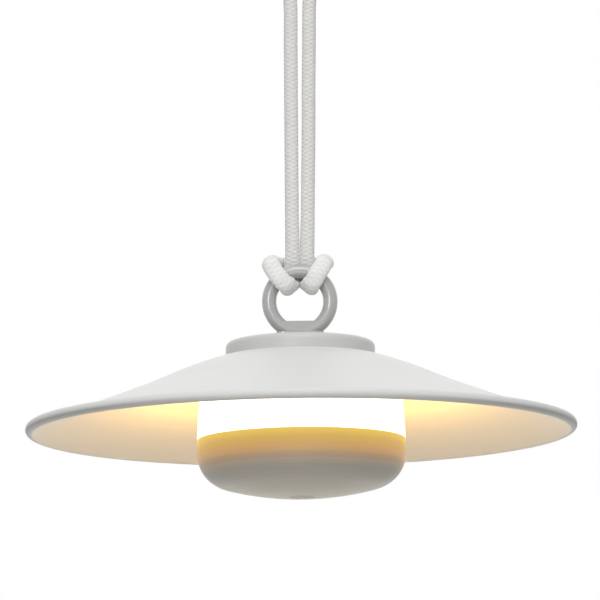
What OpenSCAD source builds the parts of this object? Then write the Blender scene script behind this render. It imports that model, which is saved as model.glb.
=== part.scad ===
/* [Rope] */
// Diameter of the braided rope
rope_d = 8; // [6:0.5:8.4]
// Height of the hanging point above the ring's centre
rope_drop = 250; // [250:1:400]

/* [Hanging ring] */
// Outside diameter of the ring
ring_d = 42.7; // [38:0.1:48]
// Thickness of the ring's round bar
ring_bar = 8.2; // [6.6:0.1:8.6]
// Distance from the ring's centre down to the flat of its foot
eye_flat = 11.5; // [10:0.1:12]
// Width of the ring's foot on the cap
foot_l = 26.8; // [24:0.2:30]
// Height of the foot's upright sides
foot_h = 4.6; // [3:0.1:6]
// Height of the foot's collar on the cap
collar_h = 1.5; // [1:0.1:3]
// Diameter of the foot's collar
collar_d = 19; // [16:0.5:26]
// Space between the ring's bar and the crown of the cap
ring_lift = 0.45; // [0.3:0.05:3]
// Diameter of the ring's threaded stud
stud_d = 10; // [8:0.5:12]
// Across flats of the nut on the stud
ring_nut_af = 17; // [15:0.5:22]
// Height of the nut on the stud
ring_nut_h = 6; // [4:0.5:8]

/* [Top cap] */
// Diameter of the cap
cap_d = 84; // [78:0.5:92]
// Height of the cap, crown included
cap_h = 9.7; // [8.7:0.1:14]
// Radius of the cap's rounded shoulder
cap_round = 3.8; // [2:0.1:5]
// Rise of the cap's crown
cap_crown = 1; // [0.4:0.1:2]
// Wall of the cap
cap_wall = 2.6; // [1.6:0.1:3.4]

/* [Shade] */
// Diameter over the rolled rim
shade_d = 310; // [280:1:360]
// Height of the flat top above the middle of the rim
shade_rise = 40.5; // [36.5:0.5:50.5]
// Thickness of the sheet
shade_wall = 1.5; // [1:0.1:2.4]
// Thickness of the rolled rim
rim_d = 6; // [5:0.1:8]
// Width of the flat land that shows round the cap
land_w = 1; // [0.5:0.1:3]
// Radius where the shade's slope is steepest
brow_r = 80; // [70:1:95]
// Drop from the flat top to the steepest place
brow_drop = 13.6; // [11:0.1:16]

/* [Lamp body] */
// Diameter of the lamp body where diffuser and cup meet
body_d = 117.2; // [112:0.2:124]
// Depth of the seam between diffuser and cup below the middle of the rim
seam_drop = 6.5; // [4.5:0.1:10.5]
// Depth of the lower cup
cup_depth = 32.6; // [32:0.1:40]
// Radius of the cup's lower corner
cup_round = 19.5; // [16:0.5:20]
// Radius of the cup's domed underside
cup_dome = 172; // [150:1:260]
// Wall of the cup
cup_wall = 2.6; // [2.2:0.1:3.2]
// Wall of the diffuser
diffuser_wall = 2.4; // [1.6:0.1:3]
// Draft of the diffuser's wall, in degrees
diffuser_draft = 3.5; // [1:0.1:4]
// Depth of the diffuser's spigot in the cup
spigot_h = 4; // [3.4:0.1:6]
// Thickness of the seal ring round the spigot
seal_d = 1.5; // [1:0.1:1.8]

/* [Top housing] */
// Thickness of the housing's top plate
plate_t = 3.5; // [3:0.1:5]
// Height of the housing's skirt
skirt_h = 4.9; // [3.5:0.1:7]
// Diameter of the threaded neck through the shade
neck_d = 26; // [22:0.5:30]
// Across flats of the lock nut on the neck
lock_nut_af = 42; // [36:0.5:46]
// Height of the lock nut
lock_nut_h = 4.4; // [3:0.1:5]
// Thickness of the gasket under the shade
gasket_t = 1; // [0.6:0.1:2]
// Thickness of the washer under the cap's ceiling
washer_t = 1.2; // [0.8:0.1:2]

/* [Light drum] */
// Space from the drum that carries the light strips to the outside of the lamp body
drum_room = 18.6; // [15:0.1:20.6]
// Wall of the drum
drum_wall = 1.8; // [1.4:0.1:2.6]
// Height of the drum's foot flange
flange_t = 2; // [1.4:0.1:3]
// Space from the edge of the deck in to the edge of the foot flange
flange_set = 1.5; // [0.5:0.1:2.5]
// Width of each light strip
strip_w = 8; // [6:0.5:9]
// Thickness of each light strip
strip_t = 0.4; // [0.2:0.1:0.6]
// Height from one light strip to the next
strip_pitch = 13; // [11:0.5:14]
// Number of light strips
strips = 2; // [1:1:2]
// Number of light chips on each strip
chips = 24; // [12:1:30]
// Width of a light chip
chip_w = 3.5; // [2:0.1:4]
// Height of a light chip
chip_h = 2.8; // [2:0.1:4]
// Thickness of a light chip
chip_t = 0.7; // [0.5:0.1:1.2]

/* [Base and battery] */
// Thickness of the deck that closes the cup
deck_t = 3; // [2:0.1:3.6]
// Diameter of a battery cell
cell_d = 18.3; // [17.5:0.1:18.6]
// Length of a battery cell
cell_l = 65; // [60:0.5:66]
// Wall of the battery tray
tray_wall = 1.4; // [1:0.1:2]
// Space for the contact at each end of a cell
contact_l = 2.5; // [1.5:0.1:3]
// Side of a contact plate
contact_w = 10; // [8:0.5:12]
// Thickness of a contact plate
contact_t = 0.4; // [0.2:0.1:0.8]

/* [Controls] */
// Width of the control board
board_w = 21; // [19:0.5:22]
// Length of the control board
board_l = 60; // [58:0.5:64]
// Thickness of the control board
board_t = 1.6; // [1:0.1:2]
// Height of the board above the cup's floor
board_lift = 8.5; // [8.3:0.1:9]
// Diameter of the power button
button_d = 14; // [11:0.5:16]
// Travel of the power button
button_travel = 0.6; // [0.3:0.1:0.8]
// Side of the push switch on the board
switch_w = 6; // [5:0.1:7]
// Height of the push switch
switch_h = 3.5; // [3:0.1:3.8]
// Diameter of the push switch's plunger
plunger_d = 3.5; // [2.5:0.1:4]
// Distance of the charging socket from the middle of the base
port_y = 26; // [25:0.5:27]
// Width of the charging socket
socket_w = 9; // [8.4:0.1:9.4]
// Thickness of the charging socket
socket_t = 3.3; // [3.1:0.1:3.6]
// Width of the cover over the charging socket
cover_w = 15; // [13:0.5:17]
// Length of the cover from its free edge to its hinge
cover_l = 16; // [14.5:0.1:17]
// Thickness of the cover
cover_t = 1.3; // [1.1:0.1:1.5]
// Diameter of the cover's hinge knuckle
knuckle_d = 1.9; // [1.7:0.1:2]
// Diameter of the cover's hinge pin
pin_d = 0.9; // [0.7:0.05:1]
// Distance of the charging light from the middle of the base
lamp_y = 13; // [12.5:0.1:14]
// Diameter of the charging light
lamp_d = 2; // [1.4:0.1:2.6]

/* [Fixings] */
// Shank diameter of the long screws
screw_d = 3; // [2.5:0.1:3.5]
// Shank diameter of the board screws
board_screw_d = 2; // [1.6:0.1:2.2]
// Space from the edge of the foot flange in to the middle of the deck screws
deck_screw_set = 4.5; // [4:0.1:5]
// Length of the deck screws
deck_screw_l = 14; // [11:0.5:14]
// Length of the housing screws
top_screw_l = 12; // [8:0.5:16]
// Length of the tray screws
tray_screw_l = 10; // [7:0.5:10.5]
// Length of the board screws
board_screw_l = 5.6; // [4:0.1:6]

/* [Fits] */
// Clearance round parts that slide or drop in
gap = 0.3; // [0.2:0.05:0.4]
// Clearance round pins, studs and threads
fit = 0.05; // [0.02:0.01:0.1]

/* [Hidden] */
$fn = 96;

// Small distances between pieces and walls of small features
deck_sink = 0.5;
board_gap = 0.5;
cell_gap = 0.45;
cell_top_gap = 1.35;
skirt_set = 1.4;
skirt_wall = 2.6;
strip_rise = 9.5;
mouth_set = 0.5;
cover_seat = 0.15;
foot_set = 0.1;
stud_end = 1.5;
plate_flat_set = 2;
gasket_set = 3;
drum_seat = 2;
boss_wall = 2;
groove_back = 0.6;
hole_end = 0.6;
cradle_w = 4;
cradle_t = 1.2;
button_flange = 1.4;
button_plate = 1.2;
button_seal_d = 0.9;
pin_end = 2;
pocket_depth = 1.5;
socket_shell = 0.35;
lead_hole_d = 8;
lead_side = 1.6;
curl_gap = 0.3;
// How far a cut runs past the face that it goes through
over = 1;

// Heights above the middle of the shade's rim
cap_top = shade_rise + cap_h;
cap_ceiling = cap_top - cap_crown - cap_wall;
ring_z = cap_top + ring_lift + ring_d / 2;
shade_under = shade_rise - shade_wall;
plate_top = shade_under - gasket_t;
plate_under = plate_top - plate_t;
seam_z = -seam_drop;
cup_z = seam_z - cup_depth;
floor_z = cup_z + cup_wall;
deck_top = seam_z - deck_sink;
deck_under = deck_top - deck_t;
drum_foot = deck_top;
board_z = floor_z + board_lift;
first_strip_z = seam_z + strip_rise;

// Height of the middle of the rim in the part's own frame, whose origin is the hanging point
rim_z = -rope_drop - ring_z;

// Radii of the lamp body
body_r = body_d / 2;
cup_inner = body_r - cup_wall;
spigot_r = cup_inner - gap;
spigot_wall = seal_d + groove_back;
deck_r = spigot_r - spigot_wall - 2 * gap;
skirt_r = body_r - skirt_set;
land_r = cap_d / 2 + land_w;
drum_r = body_r - drum_room;
flange_r = deck_r - flange_set;
deck_screw_r = flange_r - deck_screw_set;
plate_flat_r = land_r - plate_flat_set;

// Places of what stands in the cup
strip_half = board_w / 2 + board_gap;
cell_x = strip_half + tray_wall + cell_gap + cell_d / 2;
cell_z = deck_under - cell_top_gap - cell_d / 2;
tray_y = cell_l / 2 + contact_l;
tray_x = cell_x + cell_d / 2 + gap;
tray_low = cell_z - cell_d / 4;
boss_r = screw_d / 2 + boss_wall;
small_boss_r = board_screw_d / 2 + 1.6;
board_boss_r = board_screw_d / 2 + 1;
board_hole = [board_w / 2 - 2.2, board_l / 2 - 8];
top_screw_r = drum_r - drum_wall - boss_r + gap;
tray_screw_y = tray_y - small_boss_r - boss_wall;
head_d = 1.9 * screw_d;
head_h = 0.6 * screw_d;
small_head_d = 1.9 * board_screw_d;
small_head_h = 0.6 * board_screw_d;

// Arc of points about a centre, from one angle to another
function arc(c, r, a, b, n = 12) =
    [for (i = [0:n]) let (t = a + (b - a) * i / n) c + r * [cos(t), sin(t)]];

// Cubic curve between two points with a given slope at each
function curve_z(p, q, sp, sq, x) =
    let (w = q[0] - p[0], t = (x - p[0]) / w)
    (2 * t * t * t - 3 * t * t + 1) * p[1]
    + (t * t * t - 2 * t * t + t) * w * sp
    + (3 * t * t - 2 * t * t * t) * q[1]
    + (t * t * t - t * t) * w * sq;

function curve_slope(p, q, sp, sq, x) =
    (curve_z(p, q, sp, sq, x + 0.01) - curve_z(p, q, sp, sq, x - 0.01)) / 0.02;

// The shade's outline: gentle at the cap, then about as steep as at the brow down to the rim,
// where the sheet is rolled outward and up
land_slope = -0.26;
brow_slope = -0.45;
rim_slope = -0.46;
rim_lean = atan(-rim_slope);
rim_r = (shade_d - rim_d) / 2;
curl_r = rim_d / 2 - shade_wall;
land_point = [land_r, shade_rise];
brow_point = [brow_r, shade_rise - brow_drop];
rim_point = [rim_r, 0] - curl_r * [sin(rim_lean), cos(rim_lean)];

function shade_z(x) = x < brow_r
    ? curve_z(land_point, brow_point, land_slope, brow_slope, x)
    : curve_z(brow_point, rim_point, brow_slope, rim_slope, x);

function shade_slope(x) = x < brow_r
    ? curve_slope(land_point, brow_point, land_slope, brow_slope, x)
    : curve_slope(brow_point, rim_point, brow_slope, rim_slope, x);

// A point of the shade's lower side, straight through the sheet from its upper side
function under_shade(x) =
    let (s = shade_slope(x), n = norm([s, 1]))
    [x + s / n * shade_wall, shade_z(x) - shade_wall / n];

// Places along the shade's outline
brow_steps = [for (i = [0:7]) land_r + (brow_r - land_r) * i / 8];
rim_steps = [for (i = [0:12]) brow_r + (rim_point[0] - brow_r) * i / 13];
shade_steps = concat(brow_steps, rim_steps);

skirt_slope = shade_slope(skirt_r);
skirt_top = shade_z(skirt_r) - shade_wall * norm([skirt_slope, 1]) - 2 * gap;
diffuser_top = skirt_top - skirt_h;
diffuser_lean = (diffuser_top - seam_z) * tan(diffuser_draft);

// The cup's outline, for its outer face at wall 0 or its inner face at wall cup_wall
corner_r = body_r - cup_round;
corner_tilt = asin(corner_r / (cup_dome - cup_round));
dome_z = cup_z + cup_dome;
corner_z = dome_z - (cup_dome - cup_round) * cos(corner_tilt);

function cup_line(wall) = concat(
    arc([0, dome_z], cup_dome - wall, -90, -90 + corner_tilt, 6),
    arc([corner_r, corner_z], cup_round - wall, -90 + corner_tilt + 9, 0, 9)
);

// Height of the domed underside, or of the floor at wall cup_wall, at a distance from the axis
function dome_at(r, wall = 0) = dome_z - sqrt((cup_dome - wall) * (cup_dome - wall) - r * r);

// How far out the tray's corners may reach beside the cup's rounded wall
tray_corner_r = corner_r - gap
    + sqrt(pow(cup_round - cup_wall, 2) - pow(corner_z - tray_low, 2));

// Heights of what the button pushes
plunger_out = 1.2;
plunger_in = 0.8;
plunger_low = board_z - switch_h - plunger_out;
seal_low = cup_z + 1;
groove_h = button_seal_d + 2 * fit;
groove_depth = button_seal_d - gap + 2 * fit;
button_back = floor_z + gap + button_plate;

// Hinge of the socket cover
hinge_y = port_y + cover_l / 2 + knuckle_d / 2;
hinge_z = dome_at(hinge_y) + knuckle_d / 2 + fit;
cover_free_y = hinge_y - cover_l;

// Route of the rope, from the back of the hitch round the left leg, up to the hanging
// point and down to the right leg, measured from the ring's centre
ROPE_ROUTE = [
    [0, 17.4, 23], [-4.6, 17.2, 23], [-8.6, 16.2, 23], [-12.4, 12, 23], [-15, 6, 22.8],
    [-16.4, -0.5, 22], [-16.2, -5.4, 20.2], [-14.6, -7.6, 16.8], [-11.6, -8.6, 12.6],
    [-8.2, -7, 8.6], [-5.8, -0.5, 6.4], [-4.9, 5.6, 9], [-4.6, 8.4, 14], [-4.2, 8.8, 20],
    [-4.1, 8.4, 28], [-3.9, 7.6, 52], [-3.8, 6.6, 76], [-3.7, 5.8, 100], [-3.6, 4.9, 124],
    [-3.5, 4, 148], [-3.4, 3.1, 172], [-5.2, 2.4, 192], [-11, 1.7, 210], [-17, 1, 226],
    [-17, 0.4, 241], [-10, 0, 251.4], [0, 0, 254], [10, 0, 251.4], [17, 0.4, 241],
    [17.4, 1, 226], [13.4, 1.7, 210], [9, 2.4, 192], [7.4, 3.1, 172], [6.9, 4, 148],
    [6.4, 4.9, 124], [6.1, 5.8, 100], [5.6, 6.6, 76], [5.1, 7.6, 52], [4.7, 8.4, 28],
    [4.6, 8.8, 20], [4.6, 8.4, 14], [4.9, 5.6, 9], [5.8, -0.5, 6.6], [7.4, -6.8, 9],
    [9.6, -8.6, 13.4], [12.4, -7.8, 17.8], [14.2, -5, 21.2], [15, -0.5, 22.6], [14.2, 6, 23],
    [12, 12.4, 23], [8.6, 16.4, 23], [4.6, 17.2, 23]
];
rope_sides = 10;
// Longest step between two rings of the rope, and the most that it turns from one to the next
rope_step = 24;
rope_turn = 30;

// Routes of the leads inside, measured in the lamp's own heights
lead_d = 1.4;
lead_sides = 8;
board_top = board_z + board_t;
contact_low = [cell_x, tray_y - contact_t / 2, cell_z - contact_w / 2];
battery_pad = [board_w / 2 - 1.7, board_l / 2 - 1.1, board_top];

// From a contact under the tray to the board: shares of the way across and along, then the
// height below the contact in diameters of the lead
CELL_LEAD = [
    [0, 0, 0], [0, 0, 0.8], [0.19, 0.07, 1.6], [0.45, 0.15, 1.5], [0.72, 0.24, 0.9],
    [0.91, 0.41, 0.2], [1, 0.7, -0.6], [1, 1, -0.3]
];
function cell_lead(side) = concat(
    [for (k = CELL_LEAD) [
        side * (contact_low[0] + k[0] * (battery_pad[0] - contact_low[0])),
        contact_low[1] + k[1] * (battery_pad[1] - contact_low[1]),
        contact_low[2] - k[2] * lead_d
    ]],
    [[side * battery_pad[0], battery_pad[1], battery_pad[2]]]
);

// From one cell across to the other, at the far ends
CROSS_LEAD = [[1, 0], [1, 0.8], [0.86, 1.6], [0.36, 1.8], [-0.36, 1.8], [-0.86, 1.6], [-1, 0.8], [-1, 0]];
cross_lead = [for (k = CROSS_LEAD)
    [k[0] * contact_low[0], -contact_low[1], contact_low[2] - k[1] * lead_d]];

// From the board up through the deck to the light strips
function light_lead(s) = [
    [lead_side * 2, 4 * lead_side * s, board_top], [lead_side * 2, 4 * lead_side * s, board_top + 3],
    [lead_side * 1.4, 2 * lead_side * s, (board_top + deck_under) / 2],
    [lead_side, lead_side * s, deck_under - 1], [lead_side, lead_side * s, deck_top + 2],
    [0.12 * drum_r, lead_side * s, (deck_top + 2 * first_strip_z) / 3],
    [0.35 * drum_r, lead_side * s, first_strip_z - fit],
    [0.65 * drum_r, lead_side * s, first_strip_z],
    [drum_r - 2 * fit, lead_side * s, first_strip_z]
];

// Curve through a route's points, smooth and even also where they lie at uneven distances
function at(p, i) = p[(i + len(p)) % len(p)];
function span(p, i) = norm(at(p, i + 1) - at(p, i));
function heading(p, i) =
    let (a = span(p, i - 1), b = span(p, i))
    ((at(p, i + 1) - at(p, i)) * a / b + (at(p, i) - at(p, i - 1)) * b / a) / (a + b);
function between(p, i, t) =
    let (w = span(p, i))
    (2 * t * t * t - 3 * t * t + 1) * at(p, i)
    + (t * t * t - 2 * t * t + t) * w * heading(p, i)
    + (3 * t * t - 2 * t * t * t) * at(p, i + 1)
    + (t * t * t - t * t) * w * heading(p, i + 1);
function unit(v) = v / norm(v);
function turn_of(p, i) = acos(min(1, unit(heading(p, i)) * unit(heading(p, i + 1))));

// A direction carried from one ring of a tube to the next, kept square to the tube
function carried(u, t) = unit(u - (u * t) * t);

function ring_points(c, t, u, r, sides, turn) =
    [for (j = [0:sides - 1]) let (a = 360 * j / sides + turn)
        c + r * (cos(a) * u + sin(a) * cross(t, u))];

// Closed tube along a ring of points
module closed_tube(c, d, sides) {
    n = len(c);
    t = [for (i = [0:n - 1]) unit(at(c, i + 1) - at(c, i - 1))];
    u0 = carried([0, 0, 1], t[0]);
    u = [for (i = 0, v = u0; i <= n; i = i + 1, v = carried(v, t[i % n])) v];
    turn = atan2(cross(u0, u[n]) * t[0], u0 * u[n]);
    points = [for (i = [0:n - 1])
        each ring_points(c[i], t[i], u[i], d / 2, sides, -turn * i / n)];
    faces = [for (i = [0:n - 1], j = [0:sides - 1], k = [0, 1])
        let (a = i * sides, b = (i + 1) % n * sides, m = (j + 1) % sides)
        k == 0 ? [a + j, b + m, a + m] : [a + j, b + j, b + m]];
    polyhedron(points, faces);
}

// Open tube along a row of points, with a flat face at each end
module open_tube(c, d, sides) {
    n = len(c);
    t = [for (i = [0:n - 1]) unit(c[min(i + 1, n - 1)] - c[max(i - 1, 0)])];
    u0 = carried(abs(t[0][2]) > 0.9 ? [1, 0, 0] : [0, 0, 1], t[0]);
    u = [for (i = 0, v = u0; i < n; i = i + 1, v = carried(v, t[min(i, n - 1)])) v];
    points = [for (i = [0:n - 1]) each ring_points(c[i], t[i], u[i], d / 2, sides, 0)];
    last = (n - 1) * sides;
    sides_faces = [for (i = [0:n - 2], j = [0:sides - 1], k = [0, 1])
        let (a = i * sides, b = a + sides, m = (j + 1) % sides)
        k == 0 ? [a + j, b + m, a + m] : [a + j, b + j, b + m]];
    ends = [
        [for (j = [0:sides - 1]) j],
        [for (j = [sides - 1:-1:0]) last + j]
    ];
    polyhedron(points, concat(sides_faces, ends));
}

// Everything of the lamp hangs below the hanging point
module lamp() {
    translate([0, 0, rim_z]) children();
}

module at_angles(count, r, first = 0) {
    for (i = [0:count - 1]) rotate(first + 360 * i / count) translate([r, 0, 0]) children();
}

// Screw with a flat head, its head's underside at the height zero
module screw(d, length, head, head_t) {
    translate([0, 0, -length]) cylinder(h = length, d = d);
    cylinder(h = head_t, d = head);
}

module rope_sling() {
    p = ROPE_ROUTE;
    centre = [for (i = [0:len(p) - 1])
        let (n = max(ceil(span(p, i) / rope_step - 0.1), ceil(turn_of(p, i) / rope_turn), 1))
        for (k = [0:n - 1]) between(p, i, k / n)];
    color("#f2f1ee") translate([0, 0, -rope_drop]) closed_tube(centre, rope_d, rope_sides);
    near = 5;
    count = len(centre);
    gaps = [for (i = [0:count - 1], j = [i + near:count - 1])
        if (j - i < count - near) norm(centre[i] - centre[j]) - rope_d];
    ring_gaps = [for (c = centre) norm([norm([c[0], c[2]]) - (ring_d - ring_bar) / 2, c[1]])
        - (ring_bar + rope_d) / 2];
    echo(rope_rings = count, least_gap_to_itself = min(gaps), least_gap_to_the_ring = min(ring_gaps));
}

module hanging_ring() {
    mean_r = (ring_d - ring_bar) / 2;
    foot_w = ring_bar - 2 * foot_set;
    foot_side = (foot_l - foot_w) / 2;
    stud_low = plate_under - ring_nut_h - stud_end;
    color("#b4b6b7") lamp() {
        translate([0, 0, ring_z]) rotate([90, 0, 0]) {
            rotate_extrude() translate([mean_r, 0]) circle(d = ring_bar, $fn = 48);
            intersection() {
                cylinder(h = foot_w, r = mean_r, center = true);
                translate([-mean_r, -mean_r, -foot_w]) cube([2 * mean_r, mean_r - eye_flat, 2 * foot_w]);
            }
        }
        translate([0, 0, cap_top]) {
            for (s = [-1, 1]) translate([s * foot_side, 0, 0]) cylinder(h = foot_h, d = foot_w);
            translate([-foot_side, -foot_w / 2, 0]) cube([2 * foot_side, foot_w, foot_h]);
            cylinder(h = collar_h, d = collar_d);
        }
        translate([0, 0, stud_low]) cylinder(h = cap_top + collar_h / 2 - stud_low, d = stud_d);
    }
}

module ring_nut() {
    color("#c9cbcc") lamp() translate([0, 0, plate_under - ring_nut_h]) difference() {
        cylinder(h = ring_nut_h, r = ring_nut_af / sqrt(3), $fn = 6);
        translate([0, 0, -over]) cylinder(h = ring_nut_h + 2 * over, d = stud_d + 2 * fit);
    }
}

module cap_washer() {
    color("#3b3c3e") lamp() translate([0, 0, cap_ceiling - washer_t]) difference() {
        cylinder(h = washer_t, d = neck_d);
        translate([0, 0, -over]) cylinder(h = washer_t + 2 * over, d = stud_d + 2 * gap);
    }
}

module top_cap() {
    r = cap_d / 2;
    hole_r = stud_d / 2 + gap;
    ceiling = cap_ceiling - shade_rise;
    side_h = cap_h - cap_crown - cap_round;
    crown_r = (pow(r - cap_round, 2) + pow(cap_crown, 2)) / (2 * cap_crown);
    crown_a = asin((r - cap_round) / crown_r);
    hole_a = asin(hole_r / crown_r);
    line = concat(
        [[hole_r, ceiling], [r - cap_wall, ceiling], [r - cap_wall, 0], [r, 0]],
        arc([r - cap_round, side_h], cap_round, 0, 90 - crown_a, 8),
        arc([0, cap_h - crown_r], crown_r, 90 - crown_a, 90 - hole_a, 7)
    );
    color("#c6c7c8") lamp() translate([0, 0, shade_rise]) rotate_extrude() polygon(line);
}

module lock_nut() {
    color("#c9cbcc") lamp() translate([0, 0, shade_rise]) difference() {
        cylinder(h = lock_nut_h, r = lock_nut_af / sqrt(3), $fn = 6);
        translate([0, 0, -over]) cylinder(h = lock_nut_h + 2 * over, d = neck_d + 2 * fit);
    }
}

module shade() {
    hole_r = neck_d / 2 + gap;
    under = [for (i = [len(shade_steps) - 1:-1:1]) under_shade(shade_steps[i])];
    curl_start = -90 - rim_lean;
    curl_end = 270 - rim_lean - acos((curl_r - curl_gap) / (rim_d / 2));
    line = concat(
        [[hole_r, shade_under], [hole_r, shade_rise]],
        [for (x = shade_steps) [x, shade_z(x)]],
        arc([rim_r, 0], curl_r, curl_start, curl_end, 20),
        arc([rim_r, 0], rim_d / 2, curl_end, curl_start, 20),
        under,
        [[under_shade(land_r)[0], shade_under]]
    );
    color("#dcdcda") lamp() rotate_extrude($fn = 128) polygon(line);
}

module shade_gasket() {
    color("#3b3c3e") lamp() translate([0, 0, plate_top]) difference() {
        cylinder(h = gasket_t, r = land_r - gasket_set);
        translate([0, 0, -over]) cylinder(h = gasket_t + 2 * over, r = neck_d / 2 + gap);
    }
}

module top_housing() {
    bore_r = stud_d / 2 + fit;
    neck_top = cap_ceiling - washer_t;
    inner_r = skirt_r - skirt_wall;
    line = [
        [bore_r, plate_under], [drum_r + drum_seat, plate_under],
        [inner_r, skirt_top - skirt_wall], [inner_r, diffuser_top],
        [skirt_r, diffuser_top], [skirt_r, skirt_top],
        [plate_flat_r, plate_top], [neck_d / 2, plate_top],
        [neck_d / 2, neck_top], [bore_r, neck_top]
    ];
    color("#d6d6d3") lamp() difference() {
        rotate_extrude() polygon(line);
        at_angles(3, top_screw_r, 60) {
            translate([0, 0, plate_under - over]) cylinder(h = plate_t + 2 * over, d = screw_d + 2 * gap);
            translate([0, 0, plate_top - head_h]) cylinder(h = head_h + over, d = head_d + 2 * gap);
        }
    }
}

module top_screws() {
    color("#9b9da0") lamp() at_angles(3, top_screw_r, 60)
        translate([0, 0, plate_top - head_h]) screw(screw_d, top_screw_l, head_d, head_h);
}

module diffuser() {
    top = body_r - diffuser_lean;
    spigot_in = spigot_r - spigot_wall;
    seal_room = seal_d + 2 * fit;
    line = [
        [spigot_in, seam_z - spigot_h], [spigot_r, seam_z - spigot_h],
        [spigot_r, seam_z], [body_r, seam_z], [top, diffuser_top],
        [top - diffuser_wall, diffuser_top], [body_r - diffuser_wall - 1.2, seam_z + 1.5],
        [spigot_in, seam_z]
    ];
    color("#fff8e6") lamp() difference() {
        rotate_extrude() polygon(line);
        translate([0, 0, seam_z - spigot_h / 2]) rotate_extrude()
            translate([cup_inner - seal_room, -seal_room / 2]) square([seal_room + over, seal_room]);
    }
}

module diffuser_seal() {
    color("#4a4b4d") lamp() translate([0, 0, seam_z - spigot_h / 2]) rotate_extrude()
        translate([cup_inner - fit - seal_d / 2, 0]) circle(d = seal_d, $fn = 24);
}

module light_drum() {
    drum_h = plate_under - drum_foot;
    hole_d = lead_d + 2 * gap;
    color("#d2d4d6") lamp() difference() {
        union() {
            translate([0, 0, drum_foot]) difference() {
                union() {
                    cylinder(h = drum_h, r = drum_r);
                    cylinder(h = flange_t, r = flange_r);
                }
                translate([0, 0, -over]) cylinder(h = drum_h + 2 * over, r = drum_r - drum_wall);
            }
            at_angles(3, top_screw_r, 60) translate([0, 0, drum_foot]) cylinder(h = drum_h, r = boss_r);
        }
        at_angles(3, top_screw_r, 60) translate([0, 0, plate_under - top_screw_l])
            cylinder(h = top_screw_l + over, d = screw_d + 2 * fit);
        at_angles(4, deck_screw_r) translate([0, 0, drum_foot - over])
            cylinder(h = flange_t + 2 * over, d = screw_d + 2 * gap);
        for (s = [-1, 1])
            translate([drum_r - drum_wall - over, lead_side * s, first_strip_z]) rotate([0, 90, 0])
                cylinder(h = drum_wall + 2 * over, d = hole_d);
    }
}

module light_strips() {
    color("#f4f4f0") lamp() for (i = [0:strips - 1])
        translate([0, 0, first_strip_z - strip_w / 2 + i * strip_pitch]) difference() {
            cylinder(h = strip_w, r = drum_r + strip_t);
            translate([0, 0, -over]) cylinder(h = strip_w + 2 * over, r = drum_r);
        }
}

module light_chips() {
    color("#ffdf7a") lamp() for (i = [0:strips - 1])
        translate([0, 0, first_strip_z + i * strip_pitch]) at_angles(chips, drum_r + strip_t)
            translate([0, -chip_w / 2, -chip_h / 2]) cube([chip_t, chip_w, chip_h]);
}

module base_deck() {
    color("#e6e6e2") lamp() translate([0, 0, deck_under]) difference() {
        cylinder(h = deck_t, r = deck_r);
        translate([0, 0, -over]) {
            at_angles(4, deck_screw_r) cylinder(h = deck_t + 2 * over, d = screw_d + 2 * gap);
            for (s = [-1, 1]) translate([0, s * tray_screw_y, 0])
                cylinder(h = deck_t + 2 * over, d = board_screw_d + 2 * gap);
            cylinder(h = deck_t + 2 * over, d = lead_hole_d);
        }
    }
}

module deck_screws() {
    color("#9b9da0") lamp() at_angles(4, deck_screw_r)
        translate([0, 0, deck_top + flange_t]) screw(screw_d, deck_screw_l, head_d, head_h);
}

// One side wall of the tray, from the middle strip or outside the cells
module tray_side(x) {
    translate([x, -tray_y, tray_low]) cube([tray_wall, 2 * tray_y, deck_under - tray_low]);
}

// One cradle that a cell lies in, from the middle strip to the tray's side
module cradle(side, y) {
    low = cell_z - cell_d / 2 - cradle_t;
    difference() {
        translate([side > 0 ? strip_half + tray_wall / 2 : -tray_x - tray_wall / 2, y - cradle_w / 2, low])
            cube([tray_x - strip_half, cradle_w, cell_d / 4 + cradle_t + tray_wall]);
        translate([side * cell_x, y, cell_z]) rotate([90, 0, 0])
            cylinder(h = cradle_w + 2 * over, d = cell_d + 2 * fit, center = true);
    }
}

module battery_tray() {
    boss_low = tray_low + boss_wall + over;
    end_x = tray_x + tray_wall;
    color("#55585b") lamp() difference() {
        union() {
            intersection() {
                union() {
                    for (x = [strip_half, -strip_half - tray_wall, tray_x, -end_x]) tray_side(x);
                    for (y = [tray_y, -tray_y - tray_wall]) translate([-end_x, y, tray_low])
                        cube([2 * end_x, tray_wall, deck_under - tray_low]);
                }
                translate([0, 0, tray_low]) cylinder(h = deck_under - tray_low, r = tray_corner_r);
            }
            for (s = [-1, 1], t = [-1, 1]) cradle(s, t * cell_l / 3.6);
            for (s = [-1, 1]) translate([0, s * tray_screw_y, boss_low]) {
                cylinder(h = deck_under - boss_low, r = small_boss_r);
                translate([-tray_wall / 2, s > 0 ? 0 : tray_screw_y - tray_y - tray_wall / 2, 0])
                    cube([tray_wall, tray_y - tray_screw_y + tray_wall / 2, deck_under - boss_low]);
            }
        }
        for (s = [-1, 1]) translate([0, s * tray_screw_y, deck_top - tray_screw_l - hole_end])
            cylinder(h = tray_screw_l + hole_end, d = board_screw_d + 2 * fit);
    }
}

module tray_screws() {
    color("#9b9da0") lamp() for (s = [-1, 1]) translate([0, s * tray_screw_y, deck_top])
        screw(board_screw_d, tray_screw_l, small_head_d, small_head_h);
}

module battery_cells() {
    color("#5f8f4e") lamp() for (s = [-1, 1])
        translate([s * cell_x, 0, cell_z]) rotate([90, 0, 0])
            cylinder(h = cell_l, d = cell_d, center = true);
}

module cell_contacts() {
    color("#c8a85a") lamp() for (s = [-1, 1], t = [-1, 1])
        translate([s * cell_x, t * cell_l / 2, cell_z]) rotate([t > 0 ? -90 : 90, 0, 0]) {
            cylinder(h = contact_l, d = 0.6 * contact_w);
            translate([-contact_w / 2, -contact_w / 2, contact_l - contact_t])
                cube([contact_w, contact_w, contact_t]);
        }
}

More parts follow.
